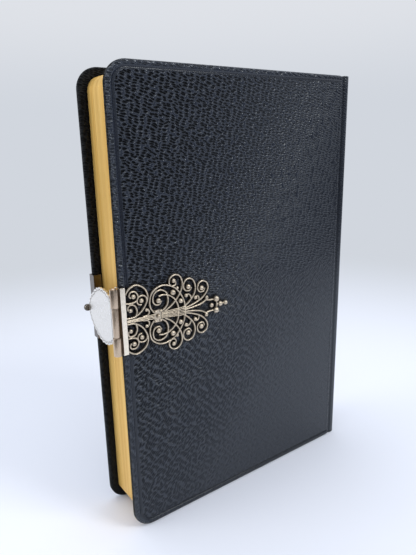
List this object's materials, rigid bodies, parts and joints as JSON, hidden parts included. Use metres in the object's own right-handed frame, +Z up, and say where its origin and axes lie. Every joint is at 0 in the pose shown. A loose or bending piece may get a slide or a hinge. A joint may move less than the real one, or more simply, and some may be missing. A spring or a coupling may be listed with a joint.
{
  "type": "antique leather book",
  "caption": "Small leather-bound prayer book with gilt page edges and a silver filigree clasp on its fore-edge.",
  "frame": {"origin": "on the surface the book stands on, under the middle of its whole box, clasp included", "axes": "+Z up along the covers' height, +X from the clasped fore-edge to the spine, the clasp cover's face towards -Y"},
  "size_m": [0.1159, 0.0258, 0.165],
  "materials": {
    "leather": "black pebbled morocco, softly worn",
    "gilt_pages": "thin paper with burnished gold on its edges",
    "pasteboard": "plain brown pasteboard",
    "endpaper": "aged cream paper",
    "headband": "sewn cream silk",
    "silver": "polished silver, dull in its recesses",
    "filigree_silver": "worn silver wire, dull in its recesses"
  },
  "bodies": {
    "book_block": {"text_block": "gilt_pages", "spine_lining": "endpaper", "headband_head": "headband", "headband_tail": "headband", "spine_leather": "leather"},
    "clasp_cover": {"clasp_board": "pasteboard", "clasp_cover_leather": "leather", "clasp_pastedown": "endpaper", "hinge_leaf": "silver", "hinge_pin": "silver", "leaf_nails": "silver", "filigree_lobes": "filigree_silver", "filigree_loops": "filigree_silver", "filigree_leaves": "filigree_silver", "filigree_stem": "filigree_silver", "filigree_rosette": "filigree_silver", "filigree_grains": "filigree_silver", "mount_pins": "filigree_silver"},
    "catch_cover": {"catch_board": "pasteboard", "catch_cover_leather": "leather", "catch_pastedown": "endpaper", "catch_plate": "silver", "catch_bar": "silver", "catch_nails": "silver"},
    "hasp": {"hasp_plate": "silver", "hasp_knob": "silver"}
  },
  "joints": [
    {"name": "clasp_cover_hinge", "type": "hinge", "parent": "book_block", "child": "clasp_cover", "pos_m": [0.05235, -0.01095, 0.0825], "axis": [0, 0, 1], "range_deg": [0, 170]},
    {"name": "catch_cover_hinge", "type": "hinge", "parent": "book_block", "child": "catch_cover", "pos_m": [0.05235, 0.01205, 0.0825], "axis": [0, 0, -1], "range_deg": [0, 170]},
    {"name": "hasp_hinge", "type": "hinge", "parent": "clasp_cover", "child": "hasp", "pos_m": [-0.05605, -0.01035, 0.0825], "axis": [0, 0, 1], "range_deg": [-1.8, 190]}
  ]
}
